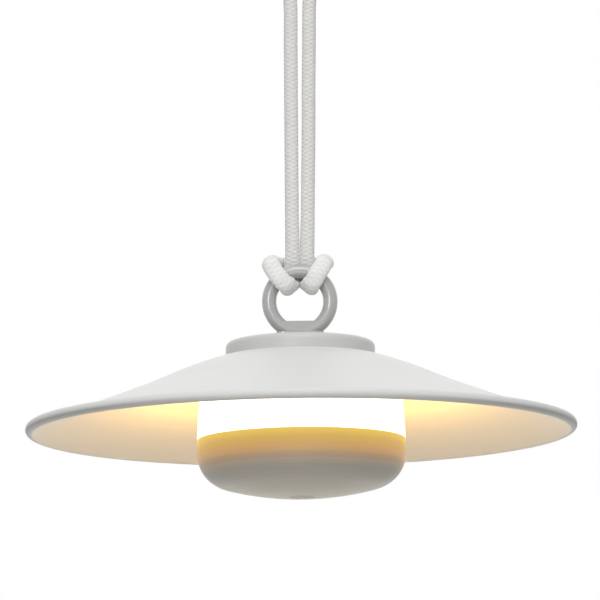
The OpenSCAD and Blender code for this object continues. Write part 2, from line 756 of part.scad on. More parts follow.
module battery_leads() {
    color("#b03028") lamp() for (p = [cell_lead(1), cell_lead(-1), cross_lead])
        open_tube(p, lead_d, lead_sides);
}

module light_leads() {
    color("#2b2b2d") lamp() for (s = [-1, 1]) open_tube(light_lead(s), lead_d, lead_sides);
}

module at_board_screws(z) {
    for (s = [-1, 1], t = [-1, 1]) translate([s * board_hole[0], t * board_hole[1], z]) children();
}

module control_board() {
    color("#2f6b45") lamp() difference() {
        translate([-board_w / 2, -board_l / 2, board_z]) cube([board_w, board_l, board_t]);
        at_board_screws(board_z - over) cylinder(h = board_t + 2 * over, d = board_screw_d + 2 * gap);
    }
}

module board_screws() {
    color("#9b9da0") lamp() at_board_screws(board_top)
        screw(board_screw_d, board_screw_l, small_head_d, small_head_h);
}

module push_switch() {
    color("#36383a") lamp() translate([0, 0, board_z - switch_h]) difference() {
        translate([-switch_w / 2, -switch_w / 2, 0]) cube([switch_w, switch_w, switch_h]);
        translate([0, 0, -over])
            cylinder(h = over + plunger_in + button_travel + gap, d = plunger_d + 2 * gap);
    }
}

module switch_plunger() {
    color("#202224") lamp() translate([0, 0, plunger_low])
        cylinder(h = plunger_out + plunger_in, d = plunger_d);
}

module power_button() {
    r = button_d / 2;
    color("#a7a69f") lamp() difference() {
        union() {
            intersection() {
                translate([0, 0, dome_z]) sphere(r = cup_dome, $fn = 160);
                translate([0, 0, cup_z - over]) cylinder(h = cup_wall + gap + button_plate + over, r = r);
            }
            translate([0, 0, floor_z + gap]) cylinder(h = button_plate, r = r + button_flange);
            translate([0, 0, button_back - button_plate / 2])
                cylinder(h = plunger_low - button_back + button_plate / 2, d = plunger_d + 2);
        }
        translate([0, 0, seal_low]) rotate_extrude()
            translate([r - groove_depth, 0]) square([groove_depth + over, groove_h]);
    }
}

module button_seal() {
    color("#4a4b4d") lamp() translate([0, 0, seal_low + groove_h / 2]) rotate_extrude()
        translate([(button_d + button_seal_d) / 2 - groove_depth + fit, 0])
            circle(d = button_seal_d, $fn = 24);
}

module charging_socket() {
    mouth_z = dome_at(port_y) + cover_t + mouth_set;
    h = board_z - mouth_z;
    tongue_w = 0.75 * socket_w;
    color("#b9bbbd") lamp() translate([0, port_y, mouth_z]) {
        difference() {
            translate([-socket_w / 2, -socket_t / 2, 0]) cube([socket_w, socket_t, h]);
            translate([-socket_w / 2 + socket_shell, -socket_t / 2 + socket_shell, -over])
                cube([socket_w - 2 * socket_shell, socket_t - 2 * socket_shell, h]);
        }
        translate([-tongue_w / 2, -socket_shell, over]) cube([tongue_w, 2 * socket_shell, h - over]);
    }
}

module charging_light() {
    low = dome_at(lamp_y) + fit;
    color("#e9f4ea") lamp() translate([0, lamp_y, low]) cylinder(h = board_z - low, d = lamp_d);
}

module at_hinge() {
    translate([0, hinge_y, hinge_z]) rotate([0, 90, 0]) children();
}

module socket_cover() {
    color("#8f8f8a") lamp() difference() {
        union() {
            intersection() {
                difference() {
                    translate([0, 0, dome_z]) sphere(r = cup_dome, $fn = 160);
                    translate([0, 0, dome_z]) sphere(r = cup_dome - cover_t, $fn = 160);
                }
                translate([-cover_w / 2, cover_free_y, cup_z - over])
                    cube([cover_w, hinge_y - cover_free_y, cup_round]);
            }
            at_hinge() cylinder(h = cover_w, d = knuckle_d, center = true);
        }
        at_hinge() cylinder(h = cover_w + 2 * over, d = pin_d + 2 * fit, center = true);
    }
}

module cover_pin() {
    color("#c9cbcc") lamp() at_hinge() cylinder(h = cover_w + 2 * pin_end, d = pin_d, center = true);
}

module base_cup() {
    pocket_w = cover_w + 2 * gap;
    screw_low = deck_top + flange_t - deck_screw_l - screw_d;
    color("#a7a69f") lamp() difference() {
        union() {
            rotate_extrude() polygon(concat(
                cup_line(0), [[body_r, seam_z], [cup_inner, seam_z]],
                [for (i = [16:-1:0]) cup_line(cup_wall)[i]]
            ));
            intersection() {
                translate([0, 0, cup_z]) {
                    at_angles(4, deck_screw_r) cylinder(h = deck_under - cup_z, r = boss_r);
                    at_board_screws(0) cylinder(h = board_z - cup_z, r = board_boss_r);
                }
                rotate_extrude() polygon(concat(
                    cup_line(cup_wall / 2), [[body_r - cup_wall / 2, seam_z], [0, seam_z]]
                ));
            }
        }
        at_angles(4, deck_screw_r) translate([0, 0, screw_low])
            cylinder(h = deck_under - screw_low + over, d = screw_d + 2 * fit);
        at_board_screws(board_top - board_screw_l - hole_end)
            cylinder(h = board_screw_l, d = board_screw_d + 2 * fit);
        translate([0, 0, cup_z - over]) {
            cylinder(h = cup_wall + 3 * over, r = button_d / 2 + gap);
            translate([0, lamp_y, 0]) cylinder(h = cup_wall + 3 * over, d = lamp_d + 2 * fit);
            translate([-socket_w / 2 - gap, port_y - socket_t / 2 - gap, 0])
                cube([socket_w + 2 * gap, socket_t + 2 * gap, board_lift + cup_wall + over]);
        }
        intersection() {
            difference() {
                translate([0, 0, dome_z]) sphere(r = cup_dome + 2 * over, $fn = 160);
                translate([0, 0, dome_z]) sphere(r = cup_dome - cover_t - cover_seat, $fn = 160);
            }
            translate([-pocket_w / 2, cover_free_y - gap, cup_z - 3 * over])
                cube([pocket_w, hinge_y - cover_free_y + gap, cup_round]);
        }
        at_hinge() {
            cylinder(h = pocket_w, d = knuckle_d + 2 * gap, center = true);
            cylinder(h = cover_w + 2 * pin_end, d = pin_d + 2 * fit, center = true);
        }
        translate([-pocket_w / 2, hinge_y, hinge_z - knuckle_d / 2 - pocket_depth])
            cube([pocket_w, knuckle_d / 2 + 2 * gap, knuckle_d / 2 + pocket_depth]);
    }
}

rope_sling();
hanging_ring();
ring_nut();
cap_washer();
top_cap();
lock_nut();
shade();
shade_gasket();
top_housing();
top_screws();
diffuser();
diffuser_seal();
light_drum();
light_strips();
light_chips();
base_deck();
deck_screws();
battery_tray();
tray_screws();
battery_cells();
cell_contacts();
battery_leads();
light_leads();
control_board();
board_screws();
push_switch();
switch_plunger();
power_button();
button_seal();
charging_socket();
charging_light();
socket_cover();
cover_pin();
base_cup();
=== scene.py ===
import math

import bpy
import numpy as np
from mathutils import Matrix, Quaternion, Vector


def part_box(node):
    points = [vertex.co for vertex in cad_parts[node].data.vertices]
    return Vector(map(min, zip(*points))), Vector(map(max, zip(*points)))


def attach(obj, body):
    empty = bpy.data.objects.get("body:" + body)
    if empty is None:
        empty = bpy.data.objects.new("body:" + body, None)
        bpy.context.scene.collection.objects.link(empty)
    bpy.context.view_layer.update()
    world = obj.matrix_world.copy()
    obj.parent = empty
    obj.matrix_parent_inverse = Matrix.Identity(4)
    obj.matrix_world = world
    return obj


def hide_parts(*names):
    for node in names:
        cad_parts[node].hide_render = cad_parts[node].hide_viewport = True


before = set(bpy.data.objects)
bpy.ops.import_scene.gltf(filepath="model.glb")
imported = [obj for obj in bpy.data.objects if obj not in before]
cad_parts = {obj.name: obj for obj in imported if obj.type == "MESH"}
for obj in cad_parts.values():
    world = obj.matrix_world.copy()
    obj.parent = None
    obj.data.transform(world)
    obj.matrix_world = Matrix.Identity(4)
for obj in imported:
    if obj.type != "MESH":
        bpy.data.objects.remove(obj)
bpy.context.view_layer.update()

# The photograph's view
# The camera stands 3.5 m from the middle of the shade's rim, a little below it, and looks up at
# it. The picture is turned by less than a degree, and the rim lies below its middle.
RIM_CENTRE = Vector((0, 0, -0.323))
VIEW_DISTANCE = 3.5
VIEW_RISE = math.radians(7.24)
VIEW_ROLL = math.radians(0.67)
PICTURE_SIDE = 600
PIXELS_PER_METRE = 1780
RIM_PIXEL = (301.3, 430.1)
SENSOR_WIDTH = 36

camera = bpy.data.objects.new("camera", bpy.data.cameras.new("camera"))
bpy.context.scene.collection.objects.link(camera)
bpy.context.scene.camera = camera
look = Vector((0, math.cos(VIEW_RISE), math.sin(VIEW_RISE)))
camera.location = RIM_CENTRE - VIEW_DISTANCE * look
focal_pixels = VIEW_DISTANCE * PIXELS_PER_METRE
rim_direction = Vector(
    (RIM_PIXEL[0] - PICTURE_SIDE / 2, PICTURE_SIDE / 2 - RIM_PIXEL[1], -focal_pixels)
)
camera.rotation_mode = "QUATERNION"
camera.rotation_quaternion = (
    look.to_track_quat("-Z", "Y")
    @ Quaternion((0, 0, 1), -VIEW_ROLL)
    @ rim_direction.rotation_difference(Vector((0, 0, -1)))
)
camera.data.sensor_width = SENSOR_WIDTH
camera.data.lens = SENSOR_WIDTH * focal_pixels / PICTURE_SIDE

# Rope
# One endless sling of white 8 mm rope, plaited from eight polyester yarns, four of each hand. It
# is doubled and hitched round the ring, and its top loop hangs out of view.
RING_CENTRE = Vector((0, 0, -0.25))
RING_MEAN_RADIUS = 0.01725
ROPE_DIAMETER = 0.008
ROUTE_STEPS = 40

# The points that the solid follows, in millimetres from the ring's middle: behind the two legs,
# down the left lobe, through the ring, over the top loop, through the ring again, and up the
# right lobe
ROPE_ROUTE = [
    (0, 17.4, 23), (-4.6, 17.2, 23), (-8.6, 16.2, 23), (-12.4, 12, 23), (-15, 6, 22.8),
    (-16.4, -0.5, 22), (-16.2, -5.4, 20.2), (-14.6, -7.6, 16.8), (-11.6, -8.6, 12.6),
    (-8.2, -7, 8.6), (-5.8, -0.5, 6.4), (-4.9, 5.6, 9), (-4.6, 8.4, 14), (-4.2, 8.8, 20),
    (-4.1, 8.4, 28), (-3.9, 7.6, 52), (-3.8, 6.6, 76), (-3.7, 5.8, 100), (-3.6, 4.9, 124),
    (-3.5, 4, 148), (-3.4, 3.1, 172), (-5.2, 2.4, 192), (-11, 1.7, 210), (-17, 1, 226),
    (-17, 0.4, 241), (-10, 0, 251.4), (0, 0, 254), (10, 0, 251.4), (17, 0.4, 241), (17.4, 1, 226),
    (13.4, 1.7, 210), (9, 2.4, 192), (7.4, 3.1, 172), (6.9, 4, 148), (6.4, 4.9, 124),
    (6.1, 5.8, 100), (5.6, 6.6, 76), (5.1, 7.6, 52), (4.7, 8.4, 28), (4.6, 8.8, 20),
    (4.6, 8.4, 14), (4.9, 5.6, 9), (5.8, -0.5, 6.6), (7.4, -6.8, 9), (9.6, -8.6, 13.4),
    (12.4, -7.8, 17.8), (14.2, -5, 21.2), (15, -0.5, 22.6), (14.2, 6, 23), (12, 12.4, 23),
    (8.6, 16.4, 23), (4.6, 17.2, 23),
]
YARN_COLUMNS = 4
YARN_PITCH = 0.00235
ROWS_PER_PITCH = 8
ROPE_SIDES = 64
YARN_ROUNDNESS = 0.00027
YARN_FALL = 0.9
YARN_LIFT = 0.00018


def smooth_closed_line(route, steps):
    """Points on the solid's closed cubic curve, steps of them for each point of the route."""
    forward = np.roll(route, -1, 0) - route
    span = np.linalg.norm(forward, axis=1)[:, None]
    back, span_back = np.roll(forward, 1, 0), np.roll(span, 1, 0)
    heading = (forward * span_back / span + back * span / span_back) / (span_back + span)
    t = (np.arange(steps) / steps)[None, :, None]
    start, end = route[:, None], np.roll(route, -1, 0)[:, None]
    leave, arrive = (span * heading)[:, None], (span * np.roll(heading, -1, 0))[:, None]
    line = (
        (2 * t**3 - 3 * t**2 + 1) * start
        + (t**3 - 2 * t**2 + t) * leave
        + (3 * t**2 - 2 * t**3) * end
        + (t**3 - t**2) * arrive
    )
    return line.reshape(-1, 3)


def evenly_spaced(line, spacing_hint, per_group):
    """The closed line again, in even steps, as many as a whole number of groups needs."""
    closed = np.vstack([line, line[:1]])
    far = np.concatenate([[0], np.cumsum(np.linalg.norm(np.diff(closed, axis=0), axis=1))])
    count = per_group * round(far[-1] / (spacing_hint * per_group))
    at = np.linspace(0, far[-1], count, endpoint=False)
    return np.stack([np.interp(at, far, closed[:, k]) for k in range(3)], axis=1), far[-1]


def unit(rows):
    return rows / np.linalg.norm(rows, axis=-1, keepdims=True)


def carried_frames(centres):
    """A closed line's direction at each point, and a side direction that is carried untwisted."""
    along = unit(np.roll(centres, -1, 0) - np.roll(centres, 1, 0))
    side = [unit(np.cross(along[0], (0.0, 0.0, 1.0)))]
    for direction in np.vstack([along[1:], along[:1]]):
        side.append(unit(side[-1] - (side[-1] @ direction) * direction))
    first, last = side[0], side[-1]
    twist = math.atan2(np.cross(first, last) @ along[0], first @ last)
    angle = (-twist * np.arange(len(centres)) / len(centres))[:, None]
    side = np.array(side[:-1])
    return along, np.cos(angle) * side + np.sin(angle) * np.cross(along, side)


route = np.array(ROPE_ROUTE) / 1000 + np.array(RING_CENTRE)
rope_line, rope_length = evenly_spaced(
    smooth_closed_line(route, ROUTE_STEPS), YARN_PITCH / ROWS_PER_PITCH, ROWS_PER_PITCH
)
row_count = len(rope_line)

# Where the rope bears on the ring, it sinks towards the bar and flattens against it. All round
# the hitch its yarns are loosened, so it is wider, and above the ring its two legs widen until
# they touch. Each holds in full up to its first distance from the bar's middle line, and ends at
# the second.
BEARING_REACH = (0.0088, 0.0102)
LOOSENED_REACH = (0.0104, 0.0124)
TOUCHING_REACH = (0.0209, 0.0335)
BLENDED_ROWS = 19
HITCH_SINKING = 0.0011
HITCH_FLATTENING = 0.24
HITCH_WIDENING = 0.24
LEG_WIDENING = 0.12

from_ring = rope_line - np.array(RING_CENTRE)
bar_middle = unit(from_ring * (1, 0, 1)) * RING_MEAN_RADIUS
from_bar = from_ring - bar_middle
bar_distance = np.linalg.norm(from_bar, axis=1)


def share_near_bar(full, none):
    """1 up to one distance from the bar's middle line, 0 from another, blended along the rope."""
    share = np.clip((none - bar_distance) / (none - full), 0, 1)
    ends = BLENDED_ROWS // 2
    window = np.hanning(BLENDED_ROWS) / np.hanning(BLENDED_ROWS).sum()
    closed = np.concatenate([share[-ends:], share, share[:ends]])
    return np.convolve(closed, window, "valid")[:, None]


bearing = share_near_bar(*BEARING_REACH)
loosened = share_near_bar(*LOOSENED_REACH)
touching = share_near_bar(*TOUCHING_REACH)
along, side = carried_frames(rope_line)
press = unit(from_bar - np.sum(from_bar * along, axis=1, keepdims=True) * along)
rope_line = rope_line - press * bearing * HITCH_SINKING

# In the ring's hole the two strands press against each other: they fill the middle, and stay
# narrow outward, clear of the ring's foot when the lamp swings. There and above they meet at a
# plane just beside the lamp's middle, and neither crosses it.
HOLE_REACH = 0.0135
HOLE_BLEND = 0.003
HOLE_NARROWING = 0.75
HOLE_FILLING = 0.3
HOLE_ROUNDING = 0.7
LEGS_MEET_AT = 0.0002
LEGS_BACK_TO = 0.012
LEGS_UP_TO = 0.06
from_middle = np.linalg.norm(from_ring[:, (0, 2)], axis=1)[:, None]
in_the_hole = np.clip((HOLE_REACH - from_middle) / HOLE_BLEND, 0, 1)
is_leg = ((from_ring[:, 1] < LEGS_BACK_TO) & (from_ring[:, 2] < LEGS_UP_TO))[:, None]

# At the front of the hitch and out to its sides the yarns open and lie smoother, and there the
# colour is painted whiter, as painted light on the lobes
OPENED_AND_LIGHTER_BESIDE = 0.006
OPENED_AND_LIGHTER_IN_FRONT_OF = 0.003
OPENED_AND_LIGHTER_BLEND = 0.004
OPENED_SMOOTHNESS = 0.35
opened_and_painted_lighter = loosened * np.maximum(
    np.clip((np.abs(from_ring[:, :1]) - OPENED_AND_LIGHTER_BESIDE) / OPENED_AND_LIGHTER_BLEND, 0, 1),
    np.clip((OPENED_AND_LIGHTER_IN_FRONT_OF - from_ring[:, 1:2]) / OPENED_AND_LIGHTER_BLEND, 0, 1),
)

# The braid: yarns of two hands cross, and each goes over one and under the next
around = np.arange(ROPE_SIDES) / ROPE_SIDES
pitches = np.arange(row_count)[:, None] / ROWS_PER_PITCH
right_hand, left_hand = YARN_COLUMNS * around + pitches, YARN_COLUMNS * around - pitches


def yarn_height(own, other, hand):
    """How high one hand's yarns stand, by the number of yarns of each hand up to a place."""
    across = 2 * (own - np.floor(own)) - 1
    lift = hand * np.where(np.floor(own) % 2, -1, 1) * np.sin(np.pi * other)
    return YARN_ROUNDNESS * np.sqrt(1 - YARN_FALL * across**2) + YARN_LIFT * lift


relief = np.maximum(
    yarn_height(right_hand, left_hand, 1), yarn_height(left_hand, right_hand, -1)
)
depth = (YARN_ROUNDNESS + YARN_LIFT - relief) * (1 - OPENED_SMOOTHNESS * opened_and_painted_lighter)
radius = ROPE_DIAMETER / 2 - depth
angle = 2 * np.pi * around[None, :, None]
outward = np.cos(angle) * side[:, None] + np.sin(angle) * np.cross(along, side)[:, None]
toward_bar = np.sum(outward * press[:, None], axis=2, keepdims=True)
sideways = outward - toward_bar * press[:, None]
kept_round = np.where(toward_bar > 0, HOLE_ROUNDING * in_the_hole[:, None], 0)
squeeze = 1 - (1 - kept_round) * HITCH_FLATTENING * bearing[:, None]
widening = HITCH_WIDENING * loosened
outer_side = (widening * (1 - HOLE_NARROWING * in_the_hole))[:, None]
inner_side = (widening + HOLE_FILLING * in_the_hole + LEG_WIDENING * touching)[:, None]
inward = sideways[:, :, :1] * np.sign(rope_line[:, None, :1]) < 0
spread = 1 + np.where(inward, inner_side, outer_side)
rope_points = rope_line[:, None] + radius[:, :, None] * (
    toward_bar * press[:, None] * squeeze + sideways * spread
)
own_side = np.sign(rope_line[:, :1])
past_middle = is_leg & (own_side * (rope_points[:, :, 0] - LEGS_MEET_AT) < 0)
rope_points[:, :, 0] = np.where(past_middle, LEGS_MEET_AT, rope_points[:, :, 0])

row, column = np.meshgrid(np.arange(row_count), np.arange(ROPE_SIDES), indexing="ij")
next_row, next_column = (row + 1) % row_count, (column + 1) % ROPE_SIDES
corners = [(row, column), (row, next_column), (next_row, next_column), (next_row, column)]
faces = np.stack([r * ROPE_SIDES + c for r, c in corners], axis=2).reshape(-1, 4)
rope_mesh = bpy.data.meshes.new("rope")
rope_mesh.from_pydata(rope_points.reshape(-1, 3).tolist(), [], faces.tolist())
rope_mesh.shade_smooth()
map_corners = [(column, row), (column + 1, row), (column + 1, row + 1), (column, row + 1)]
map_points = np.stack([np.stack(c, axis=2) for c in map_corners], axis=2).reshape(-1, 2)
braid_map = map_points / (ROPE_SIDES, ROWS_PER_PITCH)
rope_mesh.uv_layers.new(name="braid").data.foreach_set("uv", braid_map.ravel())
opened_and_lighter_values = rope_mesh.attributes.new("opened_and_painted_lighter", "FLOAT", "POINT").data
opened_and_lighter_values.foreach_set("value", np.repeat(opened_and_painted_lighter, ROPE_SIDES).astype(np.float32))
rope = bpy.data.objects.new("rope", rope_mesh)
bpy.context.scene.collection.objects.link(rope)


def linear(red, green, blue):
    """A colour as it shows on a screen, from 0 to 255, in the shader's own numbers."""
    shares = [c / 255 for c in (red, green, blue)]
    return [s / 12.92 if s <= 0.04045 else ((s + 0.055) / 1.055) ** 2.4 for s in shares] + [1.0]


def add_node(tree, kind, settings=(), **inputs):
    """A node, its inputs set or linked by name, with _ for a space, or as i and their number."""
    node = tree.nodes.new(kind)
    for setting, value in dict(settings).items():
        setattr(node, setting, value)
    for name, value in inputs.items():
        socket = node.inputs[int(name[1:]) if name[1:].isdigit() else name.replace("_", " ")]
        if isinstance(value, bpy.types.NodeSocket):
            tree.links.new(value, socket)
        else:
            socket.default_value = value
    return node


def calculate(tree, operation, first, second=0.0):
    node = add_node(tree, "ShaderNodeMath", {"operation": operation}, i0=first, i1=second)
    return node.outputs[0]


def rising(tree, value, start, full):
    """0 up to the value's start and 1 from its full on, evenly rising between them."""
    share = add_node(tree, "ShaderNodeMapRange", Value=value, From_Min=start, From_Max=full)
    return share.outputs[0]


def mixed_colour(tree, share, first, second):
    mix = add_node(tree, "ShaderNodeMix", {"data_type": "RGBA"}, i0=share, i6=first, i7=second)
    return mix.outputs[2]


def new_finish(name, **sockets):
    """A material and its Principled shader, with what is the same all over set on the shader."""
    material = bpy.data.materials.new(name)
    material.use_nodes = True
    shader = material.node_tree.nodes["Principled BSDF"]
    for socket, value in sockets.items():
        shader.inputs[socket.replace("_", " ")].default_value = value
    return material, material.node_tree, shader


ROPE_WHITE = linear(234, 233, 231)
# Painted shade: the grooves between the yarns are painted a darker colour.
ROPE_GROOVE_SHADE = linear(202, 200, 196)
# Painted light: the hitch's front and sides are painted whiter, with their grooves less dark.
PAINTED_LIGHTER_WHITE = linear(244, 244, 242)
PAINTED_LIGHTER_GROOVE_SHADE = linear(224, 223, 220)
FILAMENTS = 5
FILAMENT_DEPTH = 0.00005
GROOVE_SHADE_START, YARN_EDGE = 0.3, 0.5

rope_finish, tree, shader = new_finish("white braided polyester", Roughness=0.85, Sheen_Weight=0.4)
braid_place = add_node(tree, "ShaderNodeUVMap", {"uv_map": "braid"}).outputs["UV"]
braid = add_node(tree, "ShaderNodeSeparateXYZ", Vector=braid_place).outputs
turns = calculate(tree, "MULTIPLY", braid["X"], float(YARN_COLUMNS))
right = calculate(tree, "ADD", turns, braid["Y"])
left = calculate(tree, "SUBTRACT", turns, braid["Y"])
crossing = calculate(tree, "ADD", calculate(tree, "FLOOR", right), calculate(tree, "FLOOR", left))
left_on_top = calculate(tree, "ABSOLUTE", calculate(tree, "MODULO", crossing, 2.0))
on_top = add_node(tree, "ShaderNodeMix", i0=left_on_top, i2=right, i3=left).outputs[0]
across_yarn = calculate(tree, "FRACT", on_top)
filaments = calculate(tree, "MULTIPLY", across_yarn, 2 * math.pi * FILAMENTS)
ridges = calculate(tree, "MULTIPLY", calculate(tree, "SINE", filaments), FILAMENT_DEPTH / 2)
bump = add_node(tree, "ShaderNodeBump", Height=ridges, Distance=1.0)
tree.links.new(bump.outputs["Normal"], shader.inputs["Normal"])
# Painted shade: the colour darkens towards each yarn's edge, in the grooves.
off_middle = calculate(tree, "ABSOLUTE", calculate(tree, "SUBTRACT", across_yarn, 0.5))
groove_shade = rising(tree, off_middle, GROOVE_SHADE_START, YARN_EDGE)
# Painted light: where this attribute is 1, the whiter colours are used.
where_painted_lighter = add_node(tree, "ShaderNodeAttribute", {"attribute_name": "opened_and_painted_lighter"}).outputs["Fac"]
yarn_colour = mixed_colour(tree, where_painted_lighter, ROPE_WHITE, PAINTED_LIGHTER_WHITE)
groove_shade_colour = mixed_colour(tree, where_painted_lighter, ROPE_GROOVE_SHADE, PAINTED_LIGHTER_GROOVE_SHADE)
rope_colour = mixed_colour(tree, groove_shade, yarn_colour, groove_shade_colour)
tree.links.new(rope_colour, shader.inputs["Base Color"])
rope_mesh.materials.append(rope_finish)

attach(rope, "rope")
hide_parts("rope_sling")

# Lower cup
# The battery's cup, injection moulded in a greyish, slightly translucent plastic. A painted amber
# glow at its upper edge stands in for the diffuser's light seeping in, and fades to grey lower
# down. Its colour is also painted lighter towards the bottom, as painted light from below.
SEAM_HEIGHT = -0.3285
CUP_DEPTH = 0.0326
CLOUDS_PER_METRE = 60.0
GLOSS_CHANGE = 0.12


def surface_group():
    """Mottle, uneven gloss and fine grain for painted and moulded pieces, in their own frame."""
    group = bpy.data.node_groups.new("fine surface", "ShaderNodeTree")
    for name, kind in [
        ("Colour", "Color"), ("Mottle", "Float"), ("Roughness", "Float"),
        ("Grain size", "Float"), ("Grain depth", "Float"),
    ]:
        group.interface.new_socket(name, in_out="INPUT", socket_type="NodeSocket" + kind)
    for name, kind in [("Colour", "Color"), ("Roughness", "Float"), ("Normal", "Vector")]:
        group.interface.new_socket(name, in_out="OUTPUT", socket_type="NodeSocket" + kind)
    given = group.nodes.new("NodeGroupInput").outputs
    result = group.nodes.new("NodeGroupOutput").inputs
    place = add_node(group, "ShaderNodeTexCoord").outputs["Object"]
    clouds = add_node(
        group, "ShaderNodeTexNoise", Vector=place, Scale=CLOUDS_PER_METRE, Detail=3.0
    )
    change = calculate(group, "SUBTRACT", clouds.outputs[0], 0.5)
    tone = calculate(group, "ADD", 1.0, calculate(group, "MULTIPLY", change, given["Mottle"]))
    toned = add_node(
        group, "ShaderNodeVectorMath", {"operation": "SCALE"}, i0=given["Colour"], Scale=tone
    )
    group.links.new(toned.outputs[0], result["Colour"])
    uneven = calculate(group, "MULTIPLY", change, GLOSS_CHANGE)
    group.links.new(calculate(group, "ADD", given["Roughness"], uneven), result["Roughness"])
    fineness = calculate(group, "DIVIDE", 1.0, given["Grain size"])
    grain = add_node(group, "ShaderNodeTexNoise", Vector=place, Scale=fineness, Detail=2.0)
    relief = calculate(group, "MULTIPLY", grain.outputs[0], given["Grain depth"])
    bump = add_node(group, "ShaderNodeBump", Height=relief, Distance=1.0)
    group.links.new(bump.outputs["Normal"], result["Normal"])
    return group


fine_surface = surface_group()


def surfaced(
    name, colour, roughness, mottle=0.06, grain_size=0.0008, grain_depth=0.00001, **sockets
):
    """A finish with its colour, gloss and grain from the fine surface group.

    Where no colour is given, it is linked to the surface's Colour afterwards.
    """
    material, tree, shader = new_finish(name, **sockets)
    surface = add_node(
        tree, "ShaderNodeGroup", {"node_tree": fine_surface},
        Mottle=mottle, Roughness=roughness, Grain_size=grain_size, Grain_depth=grain_depth,
    )
    if colour is not None:
        surface.inputs["Colour"].default_value = colour
    tree.links.new(surface.outputs["Colour"], shader.inputs["Base Color"])
    tree.links.new(surface.outputs["Roughness"], shader.inputs["Roughness"])
    tree.links.new(surface.outputs["Normal"], shader.inputs["Normal"])
    return material, tree, shader, surface


def dress(finish, *nodes):
    """Gives CAD pieces a finish."""
    for node in nodes:
        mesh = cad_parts[node].data
        mesh.materials.clear()
        mesh.materials.append(finish)


def height_ramp(tree, low, high, stops):
    """A colour by height, from stops that count from 0 at low to 1 at high."""
    place = add_node(tree, "ShaderNodeTexCoord").outputs["Object"]
    height = add_node(tree, "ShaderNodeSeparateXYZ", Vector=place).outputs["Z"]
    ramp = add_node(tree, "ShaderNodeValToRGB", Fac=rising(tree, height, low, high))
    elements = ramp.color_ramp.elements
    while len(elements) < len(stops):
        elements.new(1.0)
    for element, (position, colour) in zip(elements, stops):
        element.position, element.color = position, colour
    return ramp.outputs[0]


# Painted light: the cup's colour is lighter towards the bottom and darker and amber towards the
# top.
CUP_PAINTED_TONES = [
    (0.0, linear(214, 203, 180)), (0.15, linear(202, 194, 178)), (0.32, linear(180, 176, 168)),
    (0.45, linear(178, 171, 160)), (0.55, linear(154, 145, 131)), (0.65, linear(146, 134, 114)),
    (0.75, linear(122, 108, 84)), (0.85, linear(98, 84, 56)), (0.97, linear(70, 60, 36)),
]
DARK = (0, 0, 0, 1)
# Painted glow: emission at the cup's upper edge, though the cup is no lamp.
CUP_PAINTED_GLOW = [
    (0.0, DARK), (0.4, DARK), (0.53, linear(90, 70, 46)), (0.63, linear(142, 104, 60)),
    (0.73, linear(170, 131, 68)), (0.85, linear(190, 156, 82)), (0.97, linear(220, 186, 82)),
]
cup_finish, tree, shader, surface = surfaced(
    "grey plastic with painted glow", None, 0.42, mottle=0.03, grain_size=0.0006, grain_depth=0.000006,
    Emission_Strength=1.0,
)
cup_low = SEAM_HEIGHT - CUP_DEPTH
tree.links.new(height_ramp(tree, cup_low, SEAM_HEIGHT, CUP_PAINTED_TONES), surface.inputs["Colour"])
tree.links.new(height_ramp(tree, cup_low, SEAM_HEIGHT, CUP_PAINTED_GLOW), shader.inputs["Emission Color"])
dress(cup_finish, "base_cup")

# Button, socket cover and charging light
# Soft grey moulded parts set flush into the cup's domed underside: the power button with its
# seal, and the cover over the charging socket, which turns on a steel pin. The fasteners and the
# other rubber rings have the same finishes.
button_finish, *_ = surfaced("soft grey button", linear(210, 200, 179), 0.55)
dress(button_finish, "power_button")
seal_finish, *_ = surfaced("black rubber", linear(58, 59, 61), 0.7)
dress(seal_finish, "button_seal", "diffuser_seal", "cap_washer", "shade_gasket")
cover_finish, *_ = surfaced("soft grey rubber", linear(132, 128, 121), 0.65)
dress(cover_finish, "socket_cover")
STEEL = linear(196, 197, 199)
steel_finish, *_ = surfaced("plated steel", STEEL, 0.28, Metallic=1.0)
dress(
    steel_finish, "cover_pin", "top_screws", "deck_screws", "tray_screws", "board_screws",
    "ring_nut", "lock_nut",
)
light_pipe_finish, *_ = surfaced(
    "clear light pipe", linear(238, 243, 239), 0.1, mottle=0.0, grain_depth=0.0,
    Transmission_Weight=0.5, IOR=1.49,
)
dress(light_pipe_finish, "charging_light")

# The socket's shell is drawn steel, and the tongue in its mouth is black plastic
BLACK_PLASTIC = linear(44, 45, 48)
TONGUE_HALF_WIDTH = 0.0035
TONGUE_HALF_THICKNESS = 0.0004
socket_low, socket_high = (Vector(c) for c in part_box("charging_socket"))
socket_middle = (socket_low + socket_high) / 2


def part_of(tree, low, high):
    """1 inside the box between two corners in the piece's own frame, and 0 outside."""
    place = add_node(tree, "ShaderNodeTexCoord").outputs["Object"]
    middle, half = (Vector(low) + Vector(high)) / 2, (Vector(high) - Vector(low)) / 2
    moved = add_node(tree, "ShaderNodeVectorMath", {"operation": "SUBTRACT"}, i0=place, i1=middle)
    away = add_node(tree, "ShaderNodeVectorMath", {"operation": "ABSOLUTE"}, i0=moved.outputs[0])
    sides = add_node(tree, "ShaderNodeSeparateXYZ", Vector=away.outputs[0]).outputs
    inside = [calculate(tree, "LESS_THAN", side, reach) for side, reach in zip(sides, half)]
    return calculate(tree, "MULTIPLY", calculate(tree, "MULTIPLY", *inside[:2]), inside[2])


def two_tone(name, first, second, roughness, mask_of, first_is_metal=False):
    """A finish of two colours, the second of them where mask_of(tree) is 1."""
    material, tree, shader, surface = surfaced(name, None, roughness)
    mask = mask_of(tree)
    tree.links.new(mixed_colour(tree, mask, first, second), surface.inputs["Colour"])
    if first_is_metal:
        tree.links.new(calculate(tree, "SUBTRACT", 1.0, mask), shader.inputs["Metallic"])
    return material


